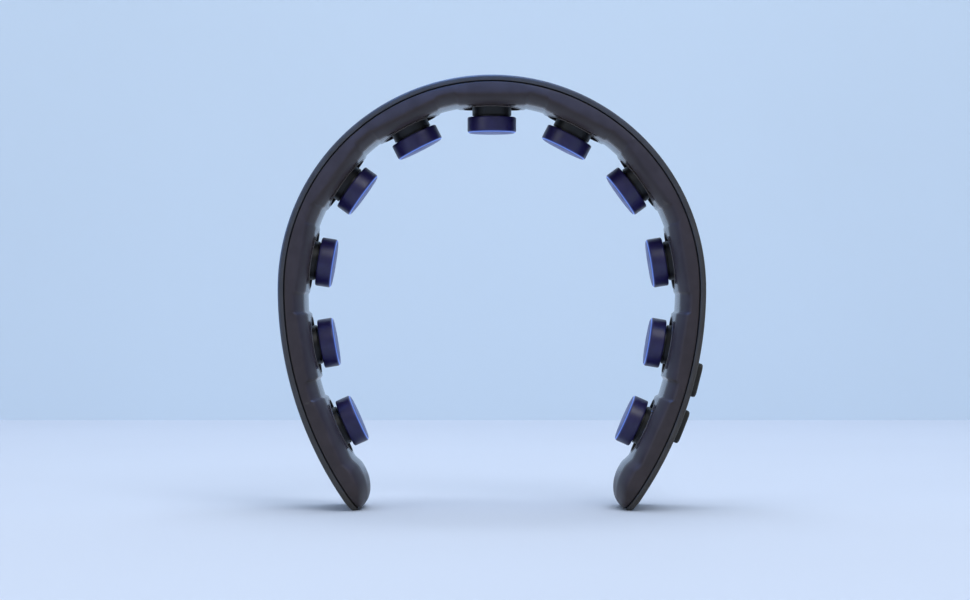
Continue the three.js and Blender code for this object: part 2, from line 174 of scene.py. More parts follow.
def outline(base, turn, inset):
    # Reach and half width of a row of the band's outline, drawn in by an inset. turn runs round a corner.
    radius = band["corner"] - inset
    reach = np.sign(base) * (np.abs(base) + radius * np.sin(turn))
    return reach, band["halfWidth"] - band["corner"] + radius * np.cos(turn)


class Shell:
    # Collects grids of points, then joins them where their edges meet. A mark per point drives the looks.
    def __init__(self):
        self.points, self.faces, self.count, self.marks = [], [], 0, []

    def grid(self, points, wrap=False, flip=False, mark=None):
        rows, columns = points.shape[:2]
        index = self.count + np.arange(rows * columns).reshape(rows, columns)
        if wrap:
            index = np.concatenate([index, index[:, :1]], 1)
        quads = np.stack([index[:-1, :-1], index[1:, :-1], index[1:, 1:], index[:-1, 1:]], -1).reshape(-1, 4)
        self.faces.append(quads[:, ::-1] if flip else quads)
        self.points.append(points.reshape(-1, 3))
        self.marks.append(np.broadcast_to(0.0 if mark is None else mark, (rows, columns)).ravel())
        self.count += rows * columns

    def piece(self, name, smoothAngle=40):
        points, faces = np.concatenate(self.points), np.concatenate(self.faces)
        _, first, back = np.unique(np.round(points, 4), axis=0, return_index=True, return_inverse=True)
        faces = back.reshape(-1)[faces]
        mark = np.concatenate(self.marks)[first]
        # Faces that lose a corner at a pole become triangles, and those that lose two are dropped.
        same = faces == np.roll(faces, -1, 1)
        quads = faces[~same.any(1)]
        thin = faces[same.sum(1) == 1]
        keep = ~(thin == np.roll(thin, -1, 1))
        triangles = thin[keep].reshape(-1, 3)
        mesh = bpy.data.meshes.new(name)
        mesh.from_pydata((points[first] * 0.001).tolist(), [], quads.tolist() + triangles.tolist())
        mesh.validate()
        if signedVolume(mesh) < 0:
            mesh.flip_normals()
        layer = mesh.attributes.new("mark", "FLOAT", "POINT")
        layer.data.foreach_set("value", mark.astype(np.float32))
        piece = bpy.data.objects.new(name, mesh)
        bpy.context.scene.collection.objects.link(piece)
        mesh.shade_smooth()
        mesh.set_sharp_from_angle(angle=math.radians(smoothAngle))
        return piece


def signedVolume(mesh):
    # Six times the volume: the sum over triangles of one corner times the cross product of the other two.
    mesh.calc_loop_triangles()
    corners = np.zeros(len(mesh.loop_triangles) * 3, int)
    mesh.loop_triangles.foreach_get("vertices", corners)
    places = np.zeros(len(mesh.vertices) * 3)
    mesh.vertices.foreach_get("co", places)
    a, b, c = places.reshape(-1, 3)[corners.reshape(-1, 3)].transpose(1, 0, 2)
    return float((a * np.cross(b, c)).sum())


def turnedPiece(name, reach, profile, sides, marks=None):
    # A profile of (radius, depth) carried round the axis of a station.
    profile = np.array(profile, float)
    turn = np.linspace(0, 2 * math.pi, sides, endpoint=False)
    radius, depth = profile[:, :1], profile[:, 1:]
    points = stationPoint(reach, radius * np.cos(turn), radius * np.sin(turn), depth + 0 * turn)
    shell = Shell()
    shell.grid(points, wrap=True, mark=None if marks is None else np.array(marks, float)[:, None])
    return shell.piece(name)


def arc(centre, radius, start, end, count):
    # Points of a circular arc as (radius, depth) pairs, angles in degrees.
    angle = np.radians(np.linspace(start, end, count))
    return [(centre[0] + radius * math.cos(a), centre[1] + radius * math.sin(a)) for a in angle]


def roundedRadius(turn, halfLong, halfAcross, power):
    # Distance to a squared-off ellipse in a given direction: with power 2 an ellipse, with more a box.
    long, wide = np.abs(np.cos(turn) / halfLong), np.abs(np.sin(turn) / halfAcross)
    return (long ** power + wide ** power) ** (-1 / power)


# Lines along the band, by their share of the way out: up to the crease they share out the neck face.
creaseShare = 0.6
towardsSide = creaseShare + (1 - creaseShare) * np.sin(np.radians(np.linspace(0, 90, 11)))
overFace = np.linspace(-creaseShare, creaseShare, 23)
acrossLines = np.concatenate([-towardsSide[:0:-1], overFace, towardsSide[1:]])
faceLines = acrossLines[np.abs(acrossLines) <= creaseShare + 1e-9]


def acrossAt(line, half):
    # Place of a line across the band, where the band has a given half width.
    crease = half - band["shoulderWidth"]
    beyond = (np.abs(line) - creaseShare) / (1 - creaseShare) * band["shoulderWidth"]
    onFace = np.abs(line) <= creaseShare + 1e-9
    return np.where(onFace, line / creaseShare * crease, np.sign(line) * (crease + beyond))


def makeRows(stations, perBay, creases=()):
    # Rows along the whole band, with bay edges and creases on rows, and each bay as (first, last, centre).
    # A station is (centre, half length); between bays the rows are about one spacing apart.
    spacing, shortGap, cornerRows = 1.1, 2, 16
    straightEnd = band["end"] - band["corner"]
    ends = {round(c + s * h, 6) for c, h in stations for s in (-1, 1)} | {round(c, 6) for c in creases}
    stops = sorted(ends | {-straightEnd, straightEnd})
    base, bays = [stops[0]], []
    for low, high in zip(stops, stops[1:]):
        bay = [c for c, _ in stations if abs(c - (low + high) / 2) < 0.01]
        least = 6 if high - low < shortGap else 2
        count = perBay if bay else max(least, int(round((high - low) / spacing)))
        base += list(np.linspace(low, high, count + 1)[1:])
        if bay:
            bays.append((len(base) - 1 - count, len(base) - 1, bay[0]))
    turns = np.radians(np.linspace(0, 90, cornerRows + 1)[1:])
    base = np.array([-straightEnd] * len(turns) + base + [straightEnd] * len(turns))
    turn = np.concatenate([turns[::-1], np.zeros(len(base) - 2 * len(turns)), turns])
    return base, turn, [(a + len(turns), b + len(turns), s) for a, b, s in bays]


def perimeter(rows):
    # Row numbers and lines, once round the outline.
    last = len(rows[0]) - 1
    mid = acrossLines[1:-1]
    onLast, onFirst = np.full(len(mid), last), np.zeros(len(mid), int)
    row = np.concatenate([np.arange(last + 1), onLast, np.arange(last, -1, -1), onFirst])
    line = np.concatenate([np.ones(last + 1), mid[::-1], -np.ones(last + 1), mid])
    return row, line


def outlinePlace(rows, row, line, inset):
    reach, half = outline(rows[0][row], rows[1][row], inset)
    return reach, acrossAt(line, half)


def skinPatches(shell, rows, inset, depthAt, holeAt, flip, markAt=lambda reach, across: 0 * reach):
    # The skin between the outline and the holes: plain grids, and in a bay with a hole, rings from the hole's
    # loop to the bay's edge. Gives back each hole's place and directions.
    ringCount, ringEase = 7, 1.4

    def sheet(reach, across, wrap=False):
        points = bandPoint(reach, across, depthAt(reach, across))
        shell.grid(points, wrap=wrap, flip=flip, mark=markAt(reach, across))

    found = []
    free = np.ones(len(rows[0]) - 1, bool)
    for first, last, station in rows[2]:
        free[first:last] = False
        ahead, crease, n = np.arange(first, last), np.full(last - first, creaseShare), len(faceLines) - 1
        row = np.concatenate([ahead, np.full(n, last), ahead[::-1] + 1, np.full(n, first)])
        line = np.concatenate([-crease, faceLines[:-1], crease, faceLines[:0:-1]])
        reach, across = outlinePlace(rows, row, line, inset)
        turn = np.arctan2(across, reach - station)
        loopReach, loopAcross = holeAt(station, turn)
        share = np.linspace(0, 1, ringCount)[:, None] ** ringEase
        sheet(loopReach + (reach - loopReach) * share, loopAcross + (across - loopAcross) * share, wrap=True)
        found.append((station, turn))
    everyRow = np.arange(len(rows[0]))[:, None]
    right, left = acrossLines > creaseShare - 1e-9, acrossLines < 1e-9 - creaseShare
    for lines in (acrossLines[right], acrossLines[left]):
        sheet(*np.broadcast_arrays(*outlinePlace(rows, everyRow, lines, inset)))
    edges = np.flatnonzero(np.diff(np.concatenate([[False], free, [False]]).astype(int)))
    for start, stop in zip(edges[::2], edges[1::2]):
        sheet(*np.broadcast_arrays(*outlinePlace(rows, everyRow[start:stop + 1], faceLines, inset)))
    return found


def edgeRibbon(shell, rows, steps, outer, inner, flip=False):
    # The shell's side, once round the outline, from its outer skin to its inner one. Each step gives an
    # inset, and a depth that is approached by a share of the way from the outer skin.
    row, line = perimeter(rows)

    def skinLine(inset, skin):
        reach, across = outlinePlace(rows, row, line, inset)
        return reach, across, skin(reach, across)

    start = skinLine(*outer)[2]
    lines = [bandPoint(*skinLine(*outer))]
    for inset, towards, depth in steps:
        reach, across = outlinePlace(rows, row, line, inset)
        lines.append(bandPoint(reach, across, start + (depth - start) * towards))
    lines.append(bandPoint(*skinLine(*inner)))
    shell.grid(np.stack(lines), wrap=True, flip=flip)


def newMaterial(name, colour, roughness, metal=0.0):
    material = bpy.data.materials.new(name)
    material.use_nodes = True
    shader = material.node_tree.nodes["Principled BSDF"]
    shader.inputs["Base Color"].default_value = (*colour, 1)
    shader.inputs["Roughness"].default_value = roughness
    shader.inputs["Metallic"].default_value = metal
    return material, material.node_tree, shader


def noise(tree, scale, detail, roughness=0.55):
    place = tree.nodes.get("Texture Coordinate") or tree.nodes.new("ShaderNodeTexCoord")
    node = tree.nodes.new("ShaderNodeTexNoise")
    node.inputs["Scale"].default_value = scale
    node.inputs["Detail"].default_value = detail
    node.inputs["Roughness"].default_value = roughness
    tree.links.new(place.outputs["Object"], node.inputs["Vector"])
    return node.outputs["Fac"]


def between(tree, value, low, high, toLow=0, toHigh=1):
    # Maps a range of a pattern's values onto another range, straight and clamped.
    node = tree.nodes.new("ShaderNodeMapRange")
    for socket, number in zip(("From Min", "From Max", "To Min", "To Max"), (low, high, toLow, toHigh)):
        node.inputs[socket].default_value = number
    tree.links.new(value, node.inputs["Value"])
    return node.outputs["Result"]


def mixColour(tree, share, first, second):
    node = tree.nodes.new("ShaderNodeMix")
    node.data_type = "RGBA"
    for socket, colour in zip((node.inputs[6], node.inputs[7]), (first, second)):
        if isinstance(colour, tuple):
            socket.default_value = (*colour, 1)
        else:
            tree.links.new(colour, socket)
    tree.links.new(share, node.inputs[0])
    return node.outputs[2]


def addBump(tree, shader, heights):
    # Stacks height patterns, each (pattern, depth in metres, strength, which may be a pattern too).
    normal = None
    for height, distance, strength in heights:
        bump = tree.nodes.new("ShaderNodeBump")
        bump.inputs["Distance"].default_value = distance
        if isinstance(strength, float):
            bump.inputs["Strength"].default_value = strength
        else:
            tree.links.new(strength, bump.inputs["Strength"])
        tree.links.new(height, bump.inputs["Height"])
        if normal:
            tree.links.new(normal, bump.inputs["Normal"])
        normal = bump.outputs["Normal"]
    tree.links.new(normal, shader.inputs["Normal"])


def markOf(tree):
    node = tree.nodes.new("ShaderNodeAttribute")
    node.attribute_name = "mark"
    return node.outputs["Fac"]


def mouldedPlastic(name, look):
    # Fine moulded grain, faint mottling, and convex edges a little lighter.
    material, tree, shader = newMaterial(name, look["colour"], look["roughness"])
    mottle = noise(tree, look["mottle"], 4)
    grain = noise(tree, look["grain"], 2, 0.6)
    edge = between(tree, tree.nodes.new("ShaderNodeNewGeometry").outputs["Pointiness"], 0.52, 0.6)
    pale = tuple(c * look["paleBy"] for c in look["colour"])
    colour = mixColour(tree, between(tree, mottle, 0.35, 0.65), look["colour"], pale)
    colour = mixColour(tree, edge, colour, look["edgeColour"])
    rough = between(tree, mottle, 0.3, 0.7, look["roughness"] - 0.05, look["roughness"] + 0.06)
    strength = look["grainStrength"]
    if "paintedSheen" in look:  # the neck face and the lips of its wells: smoother and glossier, and painted paler, the face as a sheen and the lips as a highlight line
        mark = markOf(tree)
        share = between(tree, mark, 0, 0.5)
        colour = mixColour(tree, share, colour, look["paintedSheen"])
        colour = mixColour(tree, between(tree, mark, 0.5, 1), colour, look["lip"])
        rough = mixColour(tree, share, rough, (look["gloss"],) * 3)
        strength = between(tree, share, 0, 1, strength, strength * 0.1)
    tree.links.new(colour, shader.inputs["Base Color"])
    tree.links.new(rough, shader.inputs["Roughness"])
    addBump(tree, shader, [(grain, look["grainDepth"], strength), (mottle, 0.0002, 0.06)])
    shader.inputs["Specular IOR Level"].default_value = look["shine"]
    return material


housingLook = {
    "colour": (0.0335, 0.0245, 0.0255),
    "edgeColour": (0.055, 0.045, 0.043),
    # The next two colours are painted light: a paler sheen on the neck face and a bright highlight on the
    # wells' lips.
    "paintedSheen": (0.05, 0.038, 0.034),
    "lip": (0.1, 0.085, 0.08),
    "gloss": 0.16,
    "shine": 0.3,
    "paleBy": 1.25,
    "roughness": 0.42,
    "mottle": 180,
    "grain": 5200,
    "grainDepth": 0.00004,  # in metres, as shaders take it
    "grainStrength": 0.25,
}
coverLook = {
    "colour": (0.041, 0.036, 0.031),
    "edgeColour": (0.068, 0.062, 0.056),
    "shine": 0.3,
    "paleBy": 1.3,
    "roughness": 0.5,
    "mottle": 150,
    "grain": 4200,
    "grainDepth": 0.00004,
    "grainStrength": 0.35,
}
keyLook = {
    "colour": (0.022, 0.02, 0.0165),
    "edgeColour": (0.05, 0.047, 0.04),
    "shine": 0.3,
    "paleBy": 1.35,
    "roughness": 0.62,
    "mottle": 220,
    "grain": 3600,
    "grainDepth": 0.00004,
    "grainStrength": 0.4,
}
# Near black, far darker than the housing: the stems' black plastic, darkened further as painted shade in the
# wells under the caps.
stemLook = {
    "colour": (0.003, 0.0028, 0.004),
    "edgeColour": (0.012, 0.011, 0.013),
    "shine": 0.35,
    "paleBy": 1.3,
    "roughness": 0.42,
    "mottle": 260,
    "grain": 6000,
    "grainDepth": 0.00004,
    "grainStrength": 0.1,
}
housingPlastic = mouldedPlastic("housingPlastic", housingLook)
coverPlastic = mouldedPlastic("coverPlastic", coverLook)
keyRubber = mouldedPlastic("keyRubber", keyLook)
stemPlastic = mouldedPlastic("stemPlastic", stemLook)

# The glow and ring colours are painted light: emission and a bluer base colour on each cap's front, with no
# lamp inside.
capLook = {
    "navy": (0.01, 0.007, 0.055),
    "paleNavy": (0.014, 0.01, 0.075),
    "glow": (0.012, 0.022, 0.15),
    "glowStrength": 0.4,
    "glowRing": (0.16, 0.3, 0.85),
    "glowRingStrength": 0.8,
    "roughness": 0.38,
    "rough": (0.32, 0.44),  # range of the roughness over the mottling
    "depthOfLight": (0.0005, 0.0006, 0.002),  # how far red, green and blue travel inside
    "through": 0.06,
}


def capSilicone():
    # Deep navy silicone with a painted glow, as no lamp is inside: its front face faintly, with a brighter
    # ring round the edge.
    material, tree, shader = newMaterial("capSilicone", capLook["navy"], capLook["roughness"])
    mark = markOf(tree)
    lit, glowRing = between(tree, mark, 0.5, 0.75), between(tree, mark, 0.8, 1.0)
    cloud = noise(tree, 240, 3)
    grain = noise(tree, 5000, 2)
    colour = mixColour(tree, between(tree, cloud, 0.35, 0.65), capLook["navy"], capLook["paleNavy"])
    # Painted glow: the front face's base colour is mixed towards a bright blue.
    tree.links.new(mixColour(tree, lit, colour, capLook["glow"]), shader.inputs["Base Color"])
    dim = tuple(c * capLook["glowStrength"] for c in capLook["glow"])
    bright = tuple(c * capLook["glowRingStrength"] for c in capLook["glowRing"])
    glow = mixColour(tree, glowRing, mixColour(tree, lit, (0.0, 0.0, 0.0), dim), bright)
    tree.links.new(glow, shader.inputs["Emission Color"])
    shader.inputs["Emission Strength"].default_value = 1.0
    tree.links.new(between(tree, cloud, 0.3, 0.7, *capLook["rough"]), shader.inputs["Roughness"])
    addBump(tree, shader, [(grain, 0.00003, 0.15), (cloud, 0.0002, 0.05)])
    shader.inputs["Subsurface Weight"].default_value = capLook["through"]
    shader.inputs["Subsurface Radius"].default_value = capLook["depthOfLight"]
    return material


def metal(name, colour, roughness, scratch):
    # Bare metal with fine streaks, darker and rougher in places.
    material, tree, shader = newMaterial(name, colour, roughness, 1.0)
    streak = noise(tree, scratch, 5)
    dark = tuple(c * 0.72 for c in colour)
    mixed = mixColour(tree, between(tree, streak, 0.3, 0.7), colour, dark)
    rough = between(tree, streak, 0.25, 0.75, roughness - 0.08, roughness + 0.12)
    tree.links.new(mixed, shader.inputs["Base Color"])
    tree.links.new(rough, shader.inputs["Roughness"])
    addBump(tree, shader, [(streak, 0.00003, 0.2)])
    return material


def plainInner(name, colour, second, roughness, scale):
    # Two shades of one colour in small patches, with an uneven sheen.
    material, tree, shader = newMaterial(name, colour, roughness)
    pattern = noise(tree, scale, 4)
    mixed = mixColour(tree, between(tree, pattern, 0.42, 0.58), colour, second)
    rough = between(tree, pattern, 0.3, 0.7, roughness - 0.06, roughness + 0.08)
    tree.links.new(mixed, shader.inputs["Base Color"])
    tree.links.new(rough, shader.inputs["Roughness"])
    addBump(tree, shader, [(pattern, 0.00005, 0.2)])
    return material


capMaterial = capSilicone()
sealRubber = plainInner("sealRubber", (0.004, 0.004, 0.005), (0.008, 0.008, 0.009), 0.8, 900)
springSteel = metal("springSteel", (0.55, 0.56, 0.58), 0.28, 1800)
motorSteel = metal("motorSteel", (0.5, 0.51, 0.53), 0.32, 700)
boardGreen = plainInner("boardGreen", (0.012, 0.11, 0.045), (0.02, 0.16, 0.06), 0.45, 800)
cellFoil = metal("cellFoil", (0.62, 0.63, 0.65), 0.3, 300)
ribbonFilm = plainInner("ribbonFilm", (0.42, 0.17, 0.02), (0.5, 0.24, 0.03), 0.35, 500)
lightClear = plainInner("lightClear", (0.62, 0.68, 0.78), (0.7, 0.76, 0.86), 0.18, 900)
print("materials ready")

housing = {
    "sideBulge": 0.35,
    "wellRadius": 10.6,
    "wellFloor": 9.8,
    "innerFloor": 8.6,
    "guideRadius": 7.6,
    "guideEdge": 0.15,  # how much the guide's hole widens towards the inside
    "lipWidth": 0.7,
    "lipProud": 0.16,
}
shoulderHeight = band["faceCrown"] + band["shoulderSlope"] + band["shoulderRound"]


def halfWidthAt(reach, inset=0.0):
    # Half width of the band: even, then a quarter circle down to an arm's end.
    radius = band["corner"] - inset
    past = np.clip((np.abs(reach) - (band["end"] - band["corner"])) / radius, 0, 1)
    return band["halfWidth"] - band["corner"] + radius * np.sqrt(1 - past ** 2)


def faceFall(across, half):
    # Fall of the neck face: a slight crown, a crease, then a shoulder that steepens into the side.
    crease = half - band["shoulderWidth"]
    share = np.clip((np.abs(across) - crease) / band["shoulderWidth"], 0, 1)
    crown = band["faceCrown"] * np.minimum(np.abs(across) / crease, 1) ** 2
    return crown + band["shoulderSlope"] * share + band["shoulderRound"] * (1 - np.sqrt(1 - share ** 2))


def housingSkin(reach, across):
    # The neck face less its fall to the side, which is scaled down where the band is thin.
    face = faceDepth(reach, band["flatDepth"], band["dipDepth"], band["tipDepth"])
    scale = np.minimum(1, (face - band["rim"]) * 0.75 / shoulderHeight)
    return face - faceFall(across, halfWidthAt(reach)) * scale


def housingInner(reach, across):
    # The same face one wall nearer to the outline, with a quarter ellipse as its shoulder.
    wall = band["wall"]
    face = faceDepth(reach, housing["innerFloor"], band["dipDepth"] - wall, band["tipDepth"] - wall)
    width = band["shoulderWidth"] * 1.2
    share = np.clip((np.abs(across) - (halfWidthAt(reach, wall) - width)) / width, 0, 1)
    height = np.minimum(shoulderHeight * 0.85, (face - band["rim"]) * 0.7)
    return face - height * (1 - np.sqrt(1 - share ** 2))


def faceTone(reach, across):
    # 0.5 on the neck face, which is painted paler as a sheen, fading out over the shoulder and towards an
    # arm's end.
    crease = halfWidthAt(reach) - band["shoulderWidth"]
    overShoulder = smooth((np.abs(across) - crease) / 1.6)
    overArmEnd = smooth((np.abs(reach) - lastHead - 15) / 10)
    return 0.5 * (1 - overShoulder) * (1 - overArmEnd)


def circleAt(radius):
    # A true circle on a station's flat, in band measures: reach is the face's radius times an angle.
    def loop(station, turn):
        curve = armFace if abs(station) > armStart else backFace
        return station + curve * np.arctan(radius * np.cos(turn) / curve), radius * np.sin(turn)
    return loop


def makeHousing():
    shell = Shell()
    half = band["flatLength"] / 2
    creases = [h + side * (half + band["dipRamp"]) for h in headReaches for side in (-1, 1)]
    rows = makeRows([(h, half) for h in headReaches], 24, creases)
    well, guide, lip = housing["wellRadius"], housing["guideRadius"], housing["lipWidth"]
    hole = guide + housing["guideEdge"]
    wells = skinPatches(shell, rows, 0.0, housingSkin, circleAt(well + lip), True, faceTone)
    floors = skinPatches(shell, rows, band["wall"], housingInner, circleAt(hole), False)
    # Each well: a raised bead as its lip, a wall, a floor with a small fillet, then the guide hole. A step is
    # (radius, sink under the skin, share of the way to the floor, mark), a lower one (radius, depth, twist).
    bead = np.radians(np.linspace(0, 180, 9))
    proud, sunk = housing["lipProud"], 0.2
    # The bead's mark of 1 paints the lip's highlight colour on it.
    steps = [(well + lip / 2 * (1 + math.cos(a)), -proud * math.sin(a), 0.0, 1.0) for a in bead]
    steps += [(well, 0.08, 0.0, 0.9)] + [(well, sunk, share, 0.0) for share in (0.0, 0.5, 0.93)]
    steps += [(well - 0.12, sunk, 0.985, 0.0), (well - 0.35, sunk, 1.0, 0.0)]
    steps += [(radius, sunk, 1.0, 0.0) for radius in (9.6, 8.8, 8.1, guide + 0.2)]
    floorDepth, innerDepth = housing["wellFloor"], housing["innerFloor"] + housing["guideEdge"]
    below = [(guide + 0.05, floorDepth - 0.05, 0.0), (guide, floorDepth - 0.2, 0.0), (guide, innerDepth, 0.5)]
    for (station, turn), (_, innerTurn) in zip(wells, floors):
        lines, marks = [], []
        for radius, sink, share, mark in steps:
            reach, across = circleAt(radius)(station, turn)
            rim = housingSkin(reach, across) - sink
            floor = planeDepth(reach, station, floorDepth)
            lines.append(bandPoint(reach, across, rim + (floor - rim) * share))
            marks.append(mark)
        for radius, depth, twist in below:
            reach, across = circleAt(radius)(station, turn + (innerTurn - turn) * twist)
            lines.append(bandPoint(reach, across, planeDepth(reach, station, depth)))
        reach, across = circleAt(hole)(station, innerTurn)
        lines.append(bandPoint(reach, across, housingInner(reach, across)))
        marks += [0.0] * (len(lines) - len(marks))
        shell.grid(np.stack(lines), wrap=True, mark=np.array(marks)[:, None])
    bulge, wall, rim = housing["sideBulge"], band["wall"], band["rim"]
    # The side: drawn in with the square of the way down, then a small round into the rim.
    steps = [(bulge * share ** 2, share, rim + 0.12) for share in (0.15, 0.35, 0.55, 0.75, 0.9, 1.0)]
    steps += [(bulge + 0.04, 1.0, rim + 0.04), (bulge + 0.12, 1.0, rim)]
    steps += [(wall - 0.1, 1.0, rim), (wall, 1.0, rim + 0.1)]
    edgeRibbon(shell, rows, steps, (0.0, housingSkin), (wall, housingInner))
    return shell.piece("housingShell")


keys = {
    "long": 12.9,
    "across": 18.0,
    "proud": 1.8,
    "fit": 0.25,
    "squareness": 7.0,
    "flangeSquareness": 12,
    "flangeWide": 0.85,
    "flangeBack": 1.4,
    "nubRadius": 1.5,
    "nubBack": 1.85,
    "fromEnd": 50.8,  # from the middle of the first key to the end of the band
    "pitch": 16.6,
    "lightPastKey": 12.0,
    "lightRadius": 0.9,
    "lightFit": 0.15,
    "lightBack": 2.6,
}
powerReach = band["end"] - keys["fromEnd"]
modeReach = powerReach + keys["pitch"]
lightReach = modeReach + keys["lightPastKey"]
cover = {
    "crown": 1.0,
    "side": 1.9,  # depth of its rim
    "thick": 1.4,
    "edge": 0.9,
    "nose": 5.0,
    "noseDepth": 1.5,
    "openingRound": 0.3,
    "keyBay": 8.3,  # half the length of the rows' bay round a key, and round the light
    "lightBay": 3.7,
}


def coverSkin(reach, across):
    # Crowned across the band as a parabola, and turned down at each arm's end.
    bulge = -cover["crown"] * (1 - (across / band["halfWidth"]) ** 2)
    return cover["noseDepth"] + (bulge - cover["noseDepth"]) * roundOff(reach, cover["nose"])


def coverInner(reach, across):
    return coverSkin(reach, across) + cover["thick"]


def openingLoop(grow):
    # A key's squared-off opening, or the light's round one, in band measures.
    def loop(station, turn):
        if abs(station - lightReach) < 0.01:
            radius = keys["lightRadius"] + keys["lightFit"] + grow + 0 * turn
        else:
            fit = keys["fit"] + grow
            radius = roundedRadius(turn, keys["long"] / 2 + fit, keys["across"] / 2 + fit, keys["squareness"])
        return station + radius * np.cos(turn), radius * np.sin(turn)
    return loop


def makeCover():
    shell = Shell()
    keyBay, thick, edgeRound = cover["keyBay"], cover["thick"], cover["openingRound"]
    rows = makeRows([(powerReach, keyBay), (modeReach, keyBay), (lightReach, cover["lightBay"])], 16)
    openings = skinPatches(shell, rows, cover["edge"], coverSkin, openingLoop(edgeRound), flip=False)
    inner = skinPatches(shell, rows, band["wall"], coverInner, openingLoop(0.0), flip=True)
    for (station, turn), (_, innerTurn) in zip(openings, inner):
        lines = []
        steps = [(edgeRound, 0.0), (0.16, 0.03), (0.05, 0.12), (0.0, edgeRound), (0.0, thick * 0.8)]
        for grow, sink in steps:
            reach, across = openingLoop(grow)(station, turn)
            lines.append(bandPoint(reach, across, coverSkin(reach, across) + sink))
        reach, across = openingLoop(0.0)(station, innerTurn)
        lines.append(bandPoint(reach, across, coverInner(reach, across)))
        shell.grid(np.stack(lines), wrap=True, flip=True)
    # The side: a quarter ellipse over the edge, straight down, then a small round into the rim.
    edge, side, wall = cover["edge"], cover["side"], band["wall"]
    quarter = np.radians([15, 30, 45, 60, 75, 90])
    steps = [(edge * (1 - math.sin(a)), 0.36 * (1 - math.cos(a)), side) for a in quarter]
    steps += [(0.0, 0.6, side), (0.0, 0.85, side), (0.05, 0.97, side), (0.16, 1.0, side)]
    steps += [(wall - 0.1, 1.0, side), (wall, 0.92, side)]
    edgeRibbon(shell, rows, steps, (edge, coverSkin), (wall, coverInner), flip=True)
    piece = shell.piece("coverShell")
    places = np.zeros(len(piece.data.vertices) * 3)
    piece.data.vertices.foreach_get("co", places)
    places[2::3] = np.maximum(places[2::3], 0.0)  # the flat feet
    piece.data.vertices.foreach_set("co", places)
    piece.data.update()
    return piece


seal = {
    "top": 2.05,
    "bottom": 2.25,
    "front": 0.75,
    "lip": 1.65,
    "back": 1.9,
    "lipTop": 1.84,
    "lipBottom": 2.46,
}


def makeSeal():
    # A strip in the seam, with a lip behind both shells that keeps light from passing through.
    top, bottom, front, lip, back = [seal[part] for part in ("top", "bottom", "front", "lip", "back")]
    profile = [(front, top), (0.6, 2.08), (0.56, 2.15), (0.6, 2.22), (front, bottom), (lip, bottom)]
    profile += [(lip, seal["lipBottom"]), (back, seal["lipBottom"]), (back, seal["lipTop"])]
    profile += [(lip, seal["lipTop"]), (lip, top), (front, top)]
    rows = makeRows([], 12)
    row, line = perimeter(rows)
    shell = Shell()
    lines = [bandPoint(*outlinePlace(rows, row, line, inset), depth) for inset, depth in profile]
    shell.grid(np.stack(lines), wrap=True)
    return shell.piece("seamSeal")


def makeKey(name, station):
    # Loops of one squared-off outline: from the middle of the top, which falls with the square of the way
    # out, over a soft edge, down the side, out to the flange, in under it and round the switch's nub.
    turn = np.linspace(0, 2 * math.pi, 128, endpoint=False)
    top = -cover["crown"] - keys["proud"]
    wide, back = keys["flangeWide"], keys["flangeBack"]
    steps = [(1.1, top + 0.05), (0.75, top + 0.08), (0.45, top + 0.17), (0.2, top + 0.33), (0.05, top + 0.55)]
    steps += [(0.0, top + 0.8), (0.0, top + 1.5), (0.0, 0.9)]
    steps += [(0.05 - wide, 0.92), (-wide, 1.0), (-wide, back - 0.02), (0.4, back)]
    lines = []
    for inset, depth in steps:
        power = keys["squareness"] if inset >= 0 else keys["flangeSquareness"]
        radius = roundedRadius(turn, keys["long"] / 2 - inset, keys["across"] / 2 - inset, power)
        lines.append((radius, depth))
    dome = [(lines[0][0] * share, top + 0.05 * share ** 2) for share in (0.0, 0.3, 0.55, 0.8)]
    under = [(lines[-1][0] * share, back) for share in (0.6, 0.3, 0.17)]
    nub, nubBack = keys["nubRadius"], keys["nubBack"]
    under += [(nub, back), (nub, nubBack - 0.1), (nub - 0.1, nubBack), (0.7, nubBack), (0, nubBack)]
    loops = [
        stationPoint(station, radius * np.cos(turn), radius * np.sin(turn), depth)
        for radius, depth in dome + lines + under
    ]
    shell = Shell()
    shell.grid(np.stack(loops), wrap=True)
    return shell.piece(name, 50)


def makeLight():
    # A clear pin with a slightly domed end, just under the cover's crown.
    radius, top, back = keys["lightRadius"], 0.05 - cover["crown"], keys["lightBack"]
    profile = [(0, top - 0.04), (radius * 0.5, top - 0.03), (radius - 0.12, top), (radius, top + 0.12)]
    profile += [(radius, back - 0.1), (radius - 0.1, back), (0, back)]
    return turnedPiece("statusLens", lightReach, profile, 40)


def makeCap(name, reach):
    # A cup with a softly rounded front edge, slightly domed, open at the back for the stem.
    back = capBack(reach)
    front = back + head["capHeight"]
    inside, bore = front - head["capWall"], head["capBore"]
    radius, soft, small = head["capRadius"], head["frontRound"], head["backRound"]
    profile = [(0.0, front), (2.5, front - 0.01), (5.0, front - 0.06), (6.4, front - 0.12)]
    profile += arc((radius - soft, front - 0.2 - soft), soft, 84, 0, 10)
    profile += [(radius, front - 3.0), (radius, back + 1.6)]
    profile += arc((radius - small, back + small), small, 0, -90, 6)
    profile += [(bore + 0.1, back), (bore, back + 0.1)]
    profile += [(bore, inside - 0.1), (bore - 0.1, inside), (0.0, inside)]
    # How far each point carries the painted glow: the front face 0.75, its edge 1, then fading down the side.
    marks = [0.75] * 5 + [0.8, 0.88, 0.97, 1.0, 0.9, 0.75, 0.55, 0.4, 0.3] + [0.0] * (len(profile) - 14)
    return turnedPiece(name, reach, profile, 96, marks)


